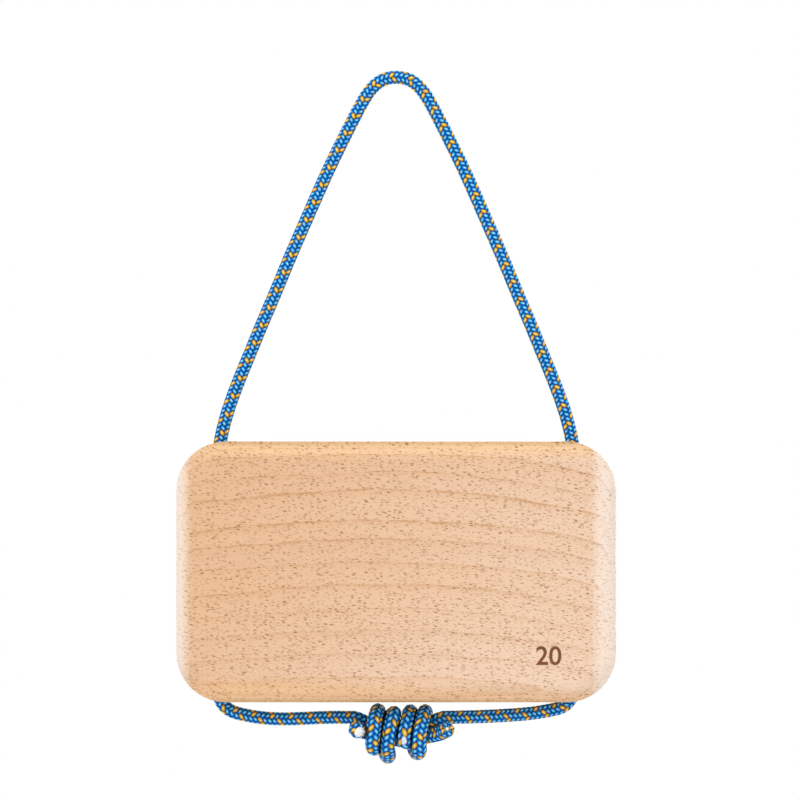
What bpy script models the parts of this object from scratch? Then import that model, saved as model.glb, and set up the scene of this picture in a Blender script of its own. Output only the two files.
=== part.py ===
"""Lifting edge block: a beech block with finger ledges, hung on a knotted loop of cord.

Metres, +Z up, with the front face towards -Y. The origin is just under the top of the loop, where
a hook or a carabiner holds it, and the plane Y = 0 holds the two cord bores.
"""
import math

import bmesh
import bpy
import numpy as np
from mathutils import Matrix

# Wooden block
BLOCK_WIDTH = 0.174
BLOCK_HEIGHT = 0.1032
BLOCK_THICKNESS = 0.042
CORNER_RADIUS = 0.0195
EDGE_ROUND = 0.007
CORNER_STEPS = 10
EDGE_STEPS = 5

# Finger ledges, cut into the back: the deep one opens at the top, the shallow one at the bottom
LEDGE_INSET = 0.030
LEDGE_CORNER_RADIUS = 0.008
DEEP_LEDGE_DEPTH = 0.020
DEEP_LEDGE_HEIGHT = 0.026
SHALLOW_LEDGE_DEPTH = 0.014
SHALLOW_LEDGE_HEIGHT = 0.022

# Cord bores, one near each end, running straight down through the block
BORE_INSET = 0.0154
BORE_DIAMETER = 0.008
BORE_SETBACK = 0.0192
MOUTH_ROUND = 0.005

# Cord
CORD_DIAMETER = 0.005
CORE_DIAMETER = 0.0034
CORE_STUB_LENGTH = 0.0009
CORD_GAP = 0.0004
HINGE_STAND_OFF = 0.0005
HANG_HEIGHT = 0.142
LONGEST_STEP = 0.0125
CHORD_SAG = 0.0001
FINE_STEP = 0.0005

# Knot, a double fisherman's bend
KNOT_OFFSET_X = 0.0011
KNOT_OFFSET_Y = -0.0004
KNOT_CLEARANCE = 0.0009
KNOT_GAP = 0.00045
KNOT_STEP = 0.0022
TIGHTEST_BEND = 0.0042
EASE_STEP = 0.0012
EASE_TURNS = 200
EASE_PULL = 0.02

# Where everything else follows from
CORD_RADIUS = CORD_DIAMETER / 2
BORE_RADIUS = BORE_DIAMETER / 2
BLOCK_TOP = -HANG_HEIGHT
BLOCK_BOTTOM = BLOCK_TOP - BLOCK_HEIGHT
FRONT_Y = -BORE_SETBACK
BACK_Y = FRONT_Y + BLOCK_THICKNESS
BORE_X = BLOCK_WIDTH / 2 - BORE_INSET
CORD_X = BORE_X - (BORE_RADIUS - CORD_RADIUS - CORD_GAP)
TOP_HINGE_Z = BLOCK_TOP + CORD_RADIUS + HINGE_STAND_OFF
BOTTOM_HINGE_Z = BLOCK_BOTTOM - CORD_RADIUS - HINGE_STAND_OFF

# Right half of the loop's centreline, from its top to the bore: shares of the half span and of
# the height from the inside of the loop's top down to the block
LOOP_SHAPE = (
    (0.0, None), (0.072, -0.0110), (0.134, 0.0120), (0.178, 0.0420), (0.214, 0.0740),
    (0.300, 0.1580), (0.382, 0.2420), (0.457, 0.3250), (0.531, 0.4090), (0.604, 0.4930),
    (0.674, 0.5770), (0.746, 0.6610), (0.815, 0.7440), (0.884, 0.8280), (0.945, 0.9110),
    (0.986, 0.9900),
)

# Lower stretches: the room each leaves round the edge of its mouth, and then its places inwards
# from the bore and down from the underside. The right one lies close, the left one is slacker
MOUTH_ANGLES = (15, 30, 45, 60)
SLACK_LEFT = 0.0013
SLACK_RIGHT = 0.0001
LOWER_LEFT = (
    (0.0109, 0.0053), (0.0150, 0.0061), (0.0200, 0.0067), (0.0263, 0.0070), (0.0343, 0.0068),
)
LOWER_RIGHT = (
    (0.0107, 0.0036), (0.0153, 0.0044), (0.0223, 0.0052), (0.0303, 0.0057), (0.0363, 0.0060),
)

# Knot route in cord diameters from the knot's centre. The first strand comes from the left,
# passes through the left barrel, winds the right barrel and leaves it to the right. The inner
# points are given with the knot's crossings straight behind it, and are then rolled with it
KNOT_ROLL = math.radians(32)
RUN_LEFT = ((-4.10, 0.26, 1.04), (-3.50, 0.26, 1.02), (-2.95, 0.31, 0.80))
RUN_RIGHT = ((4.10, 0.26, 1.04), (3.50, 0.26, 1.02), (2.95, 0.31, 0.80))
ENTRY_LEFT = (
    (-2.40, 0.13, 0.55), (-2.00, 0.32, 0.46), (-1.60, 0.48, 0.28), (-1.20, 0.56, 0.02),
    (-0.80, 0.50, -0.26), (-0.40, 0.28, -0.48), (0.00, 0.20, -0.66),
)
ENTRY_RIGHT = (
    (2.40, 0.12, 0.55), (1.80, 0.05, 0.56), (1.20, 0.00, 0.56), (0.50, 0.12, 0.60),
    (0.00, 0.20, 0.66),
)
FIRST_LEG = (
    (0.46, 0.80, -0.64), (0.80, 1.18, -0.20), (1.20, 1.26, 0.48), (1.62, 0.98, 1.12),
    (2.00, 0.50, 1.52),
)
SECOND_LEG = (
    (1.40, 0.98, -1.45), (1.28, 1.66, -0.98), (1.18, 2.14, -0.16), (1.10, 2.16, 0.50),
    (1.02, 1.60, 1.16), (0.98, 0.76, 1.52),
)
TUCK_RIGHT = (
    (0.44, 0.24, -1.52), (0.84, 0.28, -1.16), (1.32, 0.12, -0.76), (1.80, -0.05, -0.56),
    (2.40, -0.12, -0.55),
)
TUCK_LEFT = (
    (-0.44, 0.30, 2.02), (-0.55, 0.00, 1.58), (-0.80, -0.40, 0.82), (-1.20, -0.56, 0.06),
    (-1.60, -0.48, -0.28), (-2.00, -0.32, -0.46), (-2.40, -0.13, -0.55),
)
TAIL_LEFT = ((-2.85, -0.66, -0.10), (-3.15, -0.95, 0.10), (-3.42, -1.25, 0.18))
TAIL_RIGHT = ((2.95, -0.56, -0.28), (3.35, -0.80, -0.20), (3.72, -1.02, -0.18))
WRAP_RADIUS = 1.64
WRAP_DEPTH = 1.44
WRAP_LEAN = 0.36
OUTER_WRAP_X = 1.80
INNER_WRAP_X = 0.62
WRAP_POINTS = 9
LOWER_OVERLAP = 0.6
KNOT_DROP = KNOT_CLEARANCE + (WRAP_RADIUS + 0.5) * CORD_DIAMETER
KNOT_CENTRE = np.array((KNOT_OFFSET_X, KNOT_OFFSET_Y, BLOCK_BOTTOM - KNOT_DROP))
MIRROR = np.array((-1.0, 1.0, 1.0))


def clear_scene():
    """Remove every object that the scene starts with."""
    for thing in list(bpy.data.objects):
        bpy.data.objects.remove(thing, do_unlink=True)


def new_collection(name):
    """Add a collection to the scene."""
    collection = bpy.data.collections.new(name)
    bpy.context.scene.collection.children.link(collection)
    return collection


def make_material(name, colour, roughness):
    """A plain surface with the part's colour."""
    material = bpy.data.materials.new(name)
    material.use_nodes = True
    shader = material.node_tree.nodes["Principled BSDF"]
    shader.inputs["Base Color"].default_value = (*colour, 1.0)
    shader.inputs["Roughness"].default_value = roughness
    shader.inputs["Metallic"].default_value = 0.0
    return material


def mesh_object(name, mesh, collection, material=None):
    """Put a mesh into the scene as a named object."""
    thing = bpy.data.objects.new(name, mesh)
    collection.objects.link(thing)
    if material:
        mesh.materials.append(material)
    return thing


def finish_mesh(builder, name):
    """Turn a bmesh into a mesh whose round faces are shaded smooth."""
    bmesh.ops.recalc_face_normals(builder, faces=builder.faces[:])
    mesh = bpy.data.meshes.new(name)
    builder.to_mesh(mesh)
    builder.free()
    mesh.shade_smooth()
    mesh.set_sharp_from_angle(angle=math.radians(40))
    return mesh


def box_builder(low, high):
    """A bmesh box between two corners."""
    builder = bmesh.new()
    bmesh.ops.create_cube(builder, size=1.0)
    low = np.array(low)
    high = np.array(high)
    size = Matrix.Diagonal((*(high - low), 1.0))
    place = Matrix.Translation(tuple((low + high) / 2))
    bmesh.ops.transform(builder, matrix=place @ size, verts=builder.verts[:])
    return builder


def edges_along_y(builder, z_side):
    """A box's edges that run along Y, on its lower side (-1), its upper side (1) or both (0)."""
    middle = sum(vertex.co.z for vertex in builder.verts) / len(builder.verts)
    chosen = []
    for edge in builder.edges:
        start, end = (vertex.co for vertex in edge.verts)
        runs_along_y = abs(start.x - end.x) < 1e-6 and abs(start.z - end.z) < 1e-6
        if runs_along_y and (start.z - middle) * z_side >= 0:
            chosen.append(edge)
    return chosen


def ledge_cutter(name, z_floor, z_open, depth, collection):
    """A box that cuts one finger ledge out of the back; its floor's corners are rounded."""
    half = BLOCK_WIDTH / 2 - LEDGE_INSET
    over = EDGE_ROUND
    low = (-half, BACK_Y - depth, min(z_floor, z_open + math.copysign(over, z_open - z_floor)))
    high = (half, BACK_Y + over, max(z_floor, z_open + math.copysign(over, z_open - z_floor)))
    builder = box_builder(low, high)
    floor_side = -1 if z_open > z_floor else 1
    bmesh.ops.bevel(builder, geom=edges_along_y(builder, floor_side), offset=LEDGE_CORNER_RADIUS,
                    segments=5, profile=0.5, affect="EDGES", clamp_overlap=False)
    return mesh_object(name, finish_mesh(builder, name), collection)


def bore_cutter(name, x, collection):
    """A turned cutter for one cord bore, with both of its mouths rounded over."""
    reach = BORE_RADIUS + MOUTH_ROUND
    over = 2 * MOUTH_ROUND
    profile = [(0.0, BLOCK_TOP + over), (reach, BLOCK_TOP + over)]
    steps = [math.radians(90 * step / 5) for step in range(6)]
    for angle in steps:
        profile.append((reach - MOUTH_ROUND * math.sin(angle),
                        BLOCK_TOP - MOUTH_ROUND * (1 - math.cos(angle))))
    for angle in reversed(steps):
        profile.append((reach - MOUTH_ROUND * math.sin(angle),
                        BLOCK_BOTTOM + MOUTH_ROUND * (1 - math.cos(angle))))
    profile += [(reach, BLOCK_BOTTOM - over), (0.0, BLOCK_BOTTOM - over)]
    mesh = bpy.data.meshes.new(name)
    mesh.from_pydata([(radius, 0.0, z) for radius, z in profile],
                     [(index, index + 1) for index in range(len(profile) - 1)], [])
    cutter = mesh_object(name, mesh, collection)
    cutter.location = (x, 0.0, 0.0)
    turn = cutter.modifiers.new("Turn", "SCREW")
    turn.steps = 24
    turn.render_steps = 24
    turn.use_merge_vertices = True
    turn.merge_threshold = 0.00005
    return cutter


def hide_cutter(cutter):
    """Cutters show as wires and don't render."""
    cutter.hide_render = True
    cutter.display_type = "WIRE"


def evaluated_mesh(thing):
    """The object's mesh with its modifiers applied."""
    graph = bpy.context.evaluated_depsgraph_get()
    graph.update()
    return bpy.data.meshes.new_from_object(thing.evaluated_get(graph))


def outside_rims(builder):
    """The block's outside edges where two faces meet at a corner that sticks out."""
    rims = []
    for edge in builder.edges:
        if len(edge.link_faces) != 2 or not edge.is_convex:
            continue
        if edge.calc_face_angle() > math.radians(60):
            rims.append(edge)
    return rims


def make_block(parts, cutters, wood):
    """The beech block: rounded plate, two finger ledges behind and a cord bore at each end."""
    builder = box_builder((-BLOCK_WIDTH / 2, FRONT_Y, BLOCK_BOTTOM),
                          (BLOCK_WIDTH / 2, BACK_Y, BLOCK_TOP))
    bmesh.ops.bevel(builder, geom=edges_along_y(builder, 0), offset=CORNER_RADIUS,
                    segments=CORNER_STEPS, profile=0.5, affect="EDGES", clamp_overlap=False)
    plate = mesh_object("block_plate", finish_mesh(builder, "block_plate"), parts)
    ledges = (
        ledge_cutter("deep_ledge_cutter", BLOCK_TOP - DEEP_LEDGE_HEIGHT, BLOCK_TOP,
                     DEEP_LEDGE_DEPTH, cutters),
        ledge_cutter("shallow_ledge_cutter", BLOCK_BOTTOM + SHALLOW_LEDGE_HEIGHT, BLOCK_BOTTOM,
                     SHALLOW_LEDGE_DEPTH, cutters),
    )
    for cutter in ledges:
        hide_cutter(cutter)
        cut = plate.modifiers.new(cutter.name, "BOOLEAN")
        cut.operation = "DIFFERENCE"
        cut.object = cutter
    builder = bmesh.new()
    builder.from_mesh(evaluated_mesh(plate))
    bpy.data.objects.remove(plate, do_unlink=True)
    bmesh.ops.bevel(builder, geom=outside_rims(builder), offset=EDGE_ROUND, segments=EDGE_STEPS,
                    profile=0.5, affect="EDGES", clamp_overlap=False)
    block = mesh_object("block_body", finish_mesh(builder, "block_body"), parts, wood)
    for side, x in (("left", -BORE_X), ("right", BORE_X)):
        cutter = bore_cutter("bore_cutter_" + side, x, cutters)
        hide_cutter(cutter)
        cut = block.modifiers.new(cutter.name, "BOOLEAN")
        cut.operation = "DIFFERENCE"
        cut.object = cutter
    return block


def lengths_along(points):
    """How far along a line each of its points lies."""
    spans = np.linalg.norm(np.diff(points, axis=0), axis=1)
    return np.concatenate(([0.0], np.cumsum(spans)))


def points_at(points, places):
    """Where a line is at the given lengths along it."""
    lengths = lengths_along(points)
    return np.column_stack([np.interp(places, lengths, points[:, axis]) for axis in range(3)])


def even_points(points, step):
    """The same line with its points an even step apart."""
    whole = lengths_along(points)[-1]
    return points_at(points, np.linspace(0.0, whole, max(2, round(whole / step) + 1)))


def cut_line(points, start, end):
    """The stretch of a line between two lengths along it."""
    lengths = lengths_along(points)
    inside = lengths[(lengths > start + 1e-9) & (lengths < end - 1e-9)]
    return points_at(points, np.concatenate(([start], inside, [end])))


def length_at_height(points, z):
    """How far along a line that goes down it first reaches the height z."""
    lengths = lengths_along(points)
    i = int(np.flatnonzero(points[:, 2] <= z)[0])
    share = (points[i - 1, 2] - z) / (points[i - 1, 2] - points[i, 2])
    return float(lengths[i - 1] + share * (lengths[i] - lengths[i - 1]))


def spline_through(points, step):
    """Points at an even step along a smooth curve through the given points."""
    points = np.array(points, dtype=float)
    places = lengths_along(points)
    spans = np.diff(places)
    count = len(points)
    system = np.zeros((count, count))
    wanted = np.zeros((count, 3))
    system[0, 0] = system[-1, -1] = 1.0
    for i in range(1, count - 1):
        before = spans[i - 1]
        after = spans[i]
        system[i, i - 1] = before
        system[i, i] = 2 * (before + after)
        system[i, i + 1] = after
        wanted[i] = 6 * ((points[i + 1] - points[i]) / after - (points[i] - points[i - 1]) / before)
    bends = np.linalg.solve(system, wanted)

    def at(place):
        i = min(int(np.searchsorted(places, place, side="right")) - 1, count - 2)
        span = spans[i]
        left = (places[i + 1] - place) / span
        right = 1.0 - left
        curve = (left ** 3 - left) * bends[i] + (right ** 3 - right) * bends[i + 1]
        return left * points[i] + right * points[i + 1] + curve * span ** 2 / 6

    fine = np.array([at(place) for place in np.linspace(0.0, places[-1], 40 * count)])
    return even_points(fine, step)


def tube_points(points):
    """A fine line's points thinned out: far apart where it runs straight, close where it bends.

    One more point close to each end keeps the tube's end square to the line.
    """
    lengths = lengths_along(points)
    last = len(points) - 1
    kept = [0, 2]
    for i in range(3, last - 2):
        start = points[kept[-1]]
        chord = points[i + 1] - start
        across = np.linalg.norm(np.cross(points[kept[-1]:i + 1] - start, chord), axis=1).max()
        sag = across / np.linalg.norm(chord)
        if sag > CHORD_SAG or lengths[i + 1] - lengths[kept[-1]] > LONGEST_STEP:
            kept.append(i)
    return points[kept + [last - 2, last]]


def tube(name, points, collection, material, resolution, radii=None, diameter=CORD_DIAMETER):
    """A capped round tube along a line of points."""
    curve = bpy.data.curves.new(name, "CURVE")
    curve.dimensions = "3D"
    curve.bevel_depth = diameter / 2
    curve.bevel_resolution = resolution
    curve.use_fill_caps = True
    spline = curve.splines.new("POLY")
    spline.points.add(len(points) - 1)
    for i, place in enumerate(points):
        spline.points[i].co = (*place, 1.0)
        spline.points[i].radius = 1.0 if radii is None else radii[i]
    spline.use_smooth = True
    thing = bpy.data.objects.new(name, curve)
    collection.objects.link(thing)
    curve.materials.append(material)
    return thing


def domed(points, at_start, at_end):
    """Line and radii for a tube whose ends are half balls about the line's end points."""
    line = [tuple(place) for place in points]
    radii = [1.0] * len(line)
    for wanted, first in ((at_start, True), (at_end, False)):
        if not wanted:
            continue
        tip = np.array(points[0] if first else points[-1])
        inner = np.array(points[1] if first else points[-2])
        outwards = (tip - inner) / np.linalg.norm(tip - inner)
        for angle in (30, 60, 86):
            place = tip + outwards * CORD_RADIUS * math.sin(math.radians(angle))
            radius = math.cos(math.radians(angle))
            if first:
                line.insert(0, tuple(place))
                radii.insert(0, radius)
            else:
                line.append(tuple(place))
                radii.append(radius)
    return line, radii


def loop_route():
    """Centreline of the free loop, from the left bore's middle to the right bore's middle."""
    middle = (BLOCK_TOP + BLOCK_BOTTOM) / 2
    right = []
    for across, down in LOOP_SHAPE:
        z = CORD_RADIUS if down is None else -down * HANG_HEIGHT
        right.append((across * CORD_X, 0.0, z))
    for depth in (0.006, 0.012, 0.020):
        right.append((CORD_X, 0.0, BLOCK_TOP - depth))
    right.append((CORD_X, 0.0, middle))
    left = [(-x, y, z) for x, y, z in right[:0:-1]]
    return spline_through(left + right, FINE_STEP)


def lower_route(side, slack, shape, run):
    """Centreline from the middle of one bore down to where the knot's strand starts."""
    points = [(side * CORD_X, 0.0, (BLOCK_TOP + BLOCK_BOTTOM) / 2)]
    for height in (0.018, 0.009, 0.003):
        points.append((side * CORD_X, 0.0, BLOCK_BOTTOM + MOUTH_ROUND + height))
    edge_x = BORE_X - BORE_RADIUS - MOUTH_ROUND
    for angle in MOUTH_ANGLES:
        reach = MOUTH_ROUND + CORD_RADIUS + CORD_GAP + slack * angle / MOUTH_ANGLES[-1]
        points.append((side * (edge_x + reach * math.cos(math.radians(angle))), 0.0,
                       BLOCK_BOTTOM + MOUTH_ROUND - reach * math.sin(math.radians(angle))))
    for inwards, down in shape:
        points.append((side * (BORE_X - inwards), 0.0, BLOCK_BOTTOM - down))
    for place in run[:2]:
        points.append(tuple(KNOT_CENTRE + CORD_DIAMETER * np.array(place)))
    return spline_through(points, FINE_STEP)


def wrap_arc(centre_x, first, last):
    """Points of one wrap on the camera's side, in cord diameters; angles from that side up."""
    arc = []
    for angle in np.radians(np.linspace(first, last, WRAP_POINTS)):
        arc.append((centre_x + WRAP_LEAN * math.sin(angle), -WRAP_DEPTH * math.cos(angle),
                    WRAP_RADIUS * math.sin(angle)))
    return arc


def barrel_points():
    """The right barrel's two wraps and the legs behind them, in cord diameters."""
    points = list(FIRST_LEG)
    points += wrap_arc(OUTER_WRAP_X, 90, -80)
    points += SECOND_LEG
    points += wrap_arc(INNER_WRAP_X, 80, -80)
    return points


def rolled(points):
    """Points turned about the knot's long axis, its upper side going back."""
    sine = math.sin(KNOT_ROLL)
    cosine = math.cos(KNOT_ROLL)
    return [(x, y * cosine + z * sine, z * cosine - y * sine) for x, y, z in points]


def knot_routes():
    """Centrelines of the two strands, eased apart until they clear each other."""
    barrel = barrel_points()
    turned = [(-x, y, -z) for x, y, z in barrel]
    first = list(RUN_LEFT) + rolled(list(ENTRY_LEFT) + barrel + list(TUCK_RIGHT)) + list(TAIL_RIGHT)
    second = list(RUN_RIGHT) + rolled(list(ENTRY_RIGHT) + turned + list(TUCK_LEFT)) + list(TAIL_LEFT)
    strands = []
    for route in (first, second):
        points = KNOT_CENTRE + CORD_DIAMETER * np.array(route)
        strands.append(spline_through(points, EASE_STEP))
    return ease_apart(strands)


def ease_apart(strands):
    """Push the strands off each other, and smooth them, until no two stretches are too near."""
    apart = CORD_DIAMETER + KNOT_GAP
    count = len(strands[0])
    points = np.concatenate(strands)
    total = len(points)
    order = np.arange(total)
    strand = order >= count
    same = strand[:, None] == strand[None, :]
    near = same & (abs(order[:, None] - order[None, :]) * EASE_STEP < 1.9 * apart)
    hold = int(1.2 * CORD_DIAMETER / EASE_STEP)
    held = np.zeros(total, dtype=bool)
    held[:hold] = True
    held[count:count + hold] = True
    inner = ~held
    inner[[count - 1, total - 1]] = False
    for turn in range(EASE_TURNS):
        # Each point is pushed off the others that are too near and not beside it on its strand
        gaps = points[:, None, :] - points[None, :, :]
        distance = np.linalg.norm(gaps, axis=2) + 1e-12
        short = np.clip(1.01 * apart - distance, 0.0, None)
        short[near] = 0.0
        push = (gaps / distance[:, :, None] * short[:, :, None]).sum(axis=1)
        push *= 0.3 / np.sqrt(np.maximum((short > 0).sum(axis=1), 1))[:, None]
        points[~held] += push[~held]
        # Each point is drawn towards its neighbours' middle, strongly where the bend is too tight
        bend = np.zeros_like(points)
        bend[1:-1] = (points[:-2] + points[2:]) / 2 - points[1:-1]
        size = np.linalg.norm(bend, axis=1)
        allowed = EASE_STEP ** 2 / (2 * TIGHTEST_BEND)
        share = np.clip((size - allowed) / np.maximum(size, 1e-9), 0.0, 1.0) * 0.7
        amount = np.maximum(share, EASE_PULL)[:, None]
        points[inner] += (bend * amount)[inner]
        if turn % 25 == 24:
            points[:count] = spread_evenly(points[:count], hold)
            points[count:] = spread_evenly(points[count:], hold)
    return [points[:count], points[count:]]


def spread_evenly(points, hold):
    """The same line and number of points, with those past the held ones an even step apart."""
    free = points[hold - 1:]
    even = points_at(free, np.linspace(0.0, lengths_along(free)[-1], len(free)))
    return np.concatenate((points[:hold - 1], even))


def least_gap(strands):
    """The least gap between the surfaces of two strands, and of each to itself."""
    nearest = np.linalg.norm(strands[0][:, None, :] - strands[1][None, :, :], axis=2).min()
    for strand in strands:
        lengths = lengths_along(strand)
        distance = np.linalg.norm(strand[:, None, :] - strand[None, :, :], axis=2)
        apart = abs(lengths[:, None] - lengths[None, :]) > 1.9 * (CORD_DIAMETER + KNOT_GAP)
        nearest = min(nearest, distance[apart].min())
    return float(nearest) - CORD_DIAMETER


def make_cord(parts, sheath, core):
    """The cord: the loop, and on each side the stretch in the bore, the one below and the knot."""
    upper = loop_route()
    half = lengths_along(upper)[-1] / 2
    right_half = cut_line(upper, half, 2 * half)
    hinge = length_at_height(right_half, TOP_HINGE_Z)
    right_loop = tube_points(cut_line(right_half, 0.0, hinge))
    left_loop = right_loop[:1:-1] * MIRROR
    line, radii = domed(np.concatenate((left_loop, right_loop[:1], right_loop[2:])), True, True)
    tube("cord_loop", line, parts, sheath, 3, radii)
    stand_off = CORD_RADIUS + CORD_GAP
    strands = knot_routes()
    lower_left = lower_route(-1, SLACK_LEFT, LOWER_LEFT, RUN_LEFT)
    lower_right = lower_route(1, SLACK_RIGHT, LOWER_RIGHT, RUN_RIGHT)
    for name, mirror, below, strand in (("left", MIRROR, lower_left, strands[0]),
                                        ("right", 1.0, lower_right, strands[1])):
        above = cut_line(right_half, hinge + stand_off, half) * mirror
        bottom = length_at_height(below, BOTTOM_HINGE_Z)
        bore_line = np.concatenate((above, cut_line(below, 0.0, bottom - stand_off)[1:]))
        tube("cord_bore_" + name, tube_points(bore_line), parts, sheath, 3)
        knot_start = lengths_along(below)[-1] - LOWER_OVERLAP * CORD_DIAMETER - CORD_GAP
        line, radii = domed(tube_points(cut_line(below, bottom, knot_start)), True, False)
        tube("cord_lower_" + name, line, parts, sheath, 3, radii)
        wound = even_points(strand, KNOT_STEP)
        tube("knot_strand_" + name, wound, parts, sheath, 1)
        tip = wound[-1]
        outwards = (tip - wound[-2]) / np.linalg.norm(tip - wound[-2])
        stub = (tip + outwards * CORD_GAP, tip + outwards * (CORD_GAP + CORE_STUB_LENGTH))
        tube("cord_core_end_" + name, stub, parts, core, 2, diameter=CORE_DIAMETER)
    print(f"least gap in the knot {least_gap(strands) * 1000:.2f} mm")


def build():
    """Make every sub-part."""
    clear_scene()
    parts = new_collection("lifting_edge_block")
    cutters = new_collection("cutters")
    wood = make_material("beech", (0.62, 0.36, 0.17), 0.5)
    sheath = make_material("blue_sheath", (0.02, 0.17, 0.60), 0.8)
    core = make_material("white_core", (0.85, 0.87, 0.90), 0.9)
    make_block(parts, cutters, wood)
    make_cord(parts, sheath, core)


build()
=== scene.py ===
import math
from collections import namedtuple

import bmesh
import bpy
import numpy as np
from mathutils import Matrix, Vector


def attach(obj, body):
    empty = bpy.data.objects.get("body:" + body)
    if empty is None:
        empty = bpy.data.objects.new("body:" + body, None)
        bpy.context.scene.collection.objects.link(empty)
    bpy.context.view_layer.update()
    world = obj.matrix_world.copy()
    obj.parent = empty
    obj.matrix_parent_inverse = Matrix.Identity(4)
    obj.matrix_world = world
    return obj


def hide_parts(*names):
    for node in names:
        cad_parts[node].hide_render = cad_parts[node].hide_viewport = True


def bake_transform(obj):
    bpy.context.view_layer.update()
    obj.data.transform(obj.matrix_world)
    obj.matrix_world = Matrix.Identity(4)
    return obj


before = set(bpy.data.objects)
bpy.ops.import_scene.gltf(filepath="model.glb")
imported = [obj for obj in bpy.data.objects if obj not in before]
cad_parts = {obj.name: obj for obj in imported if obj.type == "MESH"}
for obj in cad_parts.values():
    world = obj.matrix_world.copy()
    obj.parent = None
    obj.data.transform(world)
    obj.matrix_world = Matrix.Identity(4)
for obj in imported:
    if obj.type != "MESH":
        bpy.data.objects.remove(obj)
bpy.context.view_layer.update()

# Sizes of the block and the cord
BLOCK_WIDTH = 0.174
BLOCK_HEIGHT = 0.1032
FRONT_Y = -0.0192
HANG_HEIGHT = 0.142
BLOCK_TOP = -HANG_HEIGHT
BLOCK_BOTTOM = BLOCK_TOP - BLOCK_HEIGHT
BORE_INSET = 0.0154
BORE_X = BLOCK_WIDTH / 2 - BORE_INSET
BORE_RADIUS = 0.004
MOUTH_ROUND = 0.005
CORD_DIAMETER = 0.005
CORD_RADIUS = CORD_DIAMETER / 2
CORD_GAP = 0.0004
CORD_X = BORE_X - (BORE_RADIUS - CORD_RADIUS - CORD_GAP)

# How finely a curve is read between its points, and how often small kinks are drawn out
FINE_STEP = 0.0005
SAMPLES_PER_POINT = 40
SMOOTH_TURNS = 60

# Right half of the loop's centreline, from its top to the bore: shares of the half span and of
# the height from the inside of the loop's top down to the block
LOOP_SHAPE = (
    (0.0, None), (0.072, -0.0110), (0.134, 0.0120), (0.178, 0.0420), (0.214, 0.0740),
    (0.300, 0.1580), (0.382, 0.2420), (0.457, 0.3250), (0.531, 0.4090), (0.604, 0.4930),
    (0.674, 0.5770), (0.746, 0.6610), (0.815, 0.7440), (0.884, 0.8280), (0.945, 0.9110),
    (0.986, 0.9900),
)
DEPTHS_IN_BORE = (0.006, 0.012, 0.020)

# Lower stretches: heights above the mouth where they run straight down the bore, the room each
# leaves round the edge of its mouth, and then its places inwards from the bore and down from the
# underside
HEIGHTS_IN_BORE = (0.018, 0.009, 0.003)
MOUTH_ANGLES = (15, 30, 45, 60)
SLACK_LEFT = 0.0013
SLACK_RIGHT = 0.0001
LOWER_LEFT = (
    (0.0109, 0.0053), (0.0150, 0.0061), (0.0200, 0.0067), (0.0263, 0.0070), (0.0343, 0.0068),
)
LOWER_RIGHT = (
    (0.0107, 0.0036), (0.0153, 0.0044), (0.0223, 0.0052), (0.0303, 0.0057), (0.0363, 0.0060),
)

# Easing the knot's strands apart: the gap they keep, the bend past which they are drawn
# straighter, and how strongly each turn pushes and pulls. The start that is held still, and what
# counts as the same stretch, are in cord diameters
KNOT_GAP = 0.00045
TIGHTEST_BEND = 0.0042
EASE_STEP = 0.0012
EASE_TURNS = 200
EASE_MARGIN = 1.01
EASE_PUSH = 0.3
EASE_PULL = 0.02
BEND_PULL = 0.7
SPREAD_EVERY = 25
HELD_START = 1.2
SAME_STRETCH = 1.9

# Knot route in cord diameters from the knot's centre
KNOT_ROLL = math.radians(32)
RUN_LEFT = ((-4.10, 0.26, 1.04), (-3.50, 0.26, 1.02), (-2.95, 0.31, 0.80))
RUN_RIGHT = ((4.10, 0.26, 1.04), (3.50, 0.26, 1.02), (2.95, 0.31, 0.80))
ENTRY_LEFT = (
    (-2.40, 0.13, 0.55), (-2.00, 0.32, 0.46), (-1.60, 0.48, 0.28), (-1.20, 0.56, 0.02),
    (-0.80, 0.50, -0.26), (-0.40, 0.28, -0.48), (0.00, 0.20, -0.66),
)
ENTRY_RIGHT = (
    (2.40, 0.12, 0.55), (1.80, 0.05, 0.56), (1.20, 0.00, 0.56), (0.50, 0.12, 0.60),
    (0.00, 0.20, 0.66),
)
FIRST_LEG = (
    (0.46, 0.80, -0.64), (0.80, 1.18, -0.20), (1.20, 1.26, 0.48), (1.62, 0.98, 1.12),
    (2.00, 0.50, 1.52),
)
SECOND_LEG = (
    (1.40, 0.98, -1.45), (1.28, 1.66, -0.98), (1.18, 2.14, -0.16), (1.10, 2.16, 0.50),
    (1.02, 1.60, 1.16), (0.98, 0.76, 1.52),
)
TUCK_RIGHT = (
    (0.44, 0.24, -1.52), (0.84, 0.28, -1.16), (1.32, 0.12, -0.76), (1.80, -0.05, -0.56),
    (2.40, -0.12, -0.55),
)
TUCK_LEFT = (
    (-0.44, 0.30, 2.02), (-0.55, 0.00, 1.58), (-0.80, -0.40, 0.82), (-1.20, -0.56, 0.06),
    (-1.60, -0.48, -0.28), (-2.00, -0.32, -0.46), (-2.40, -0.13, -0.55),
)
TAIL_LEFT = ((-2.85, -0.66, -0.10), (-3.15, -0.95, 0.10), (-3.42, -1.25, 0.18))
TAIL_RIGHT = ((2.95, -0.56, -0.28), (3.35, -0.80, -0.20), (3.72, -1.02, -0.18))
WRAP_RADIUS = 1.64
WRAP_DEPTH = 1.44
WRAP_LEAN = 0.36
OUTER_WRAP_X = 1.80
INNER_WRAP_X = 0.62
WRAP_POINTS = 9
KNOT_HEADROOM = 0.0009
KNOT_DROP = KNOT_HEADROOM + (WRAP_RADIUS + 0.5) * CORD_DIAMETER
KNOT_CENTRE = np.array((0.0011, -0.0004, BLOCK_BOTTOM - KNOT_DROP))

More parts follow.
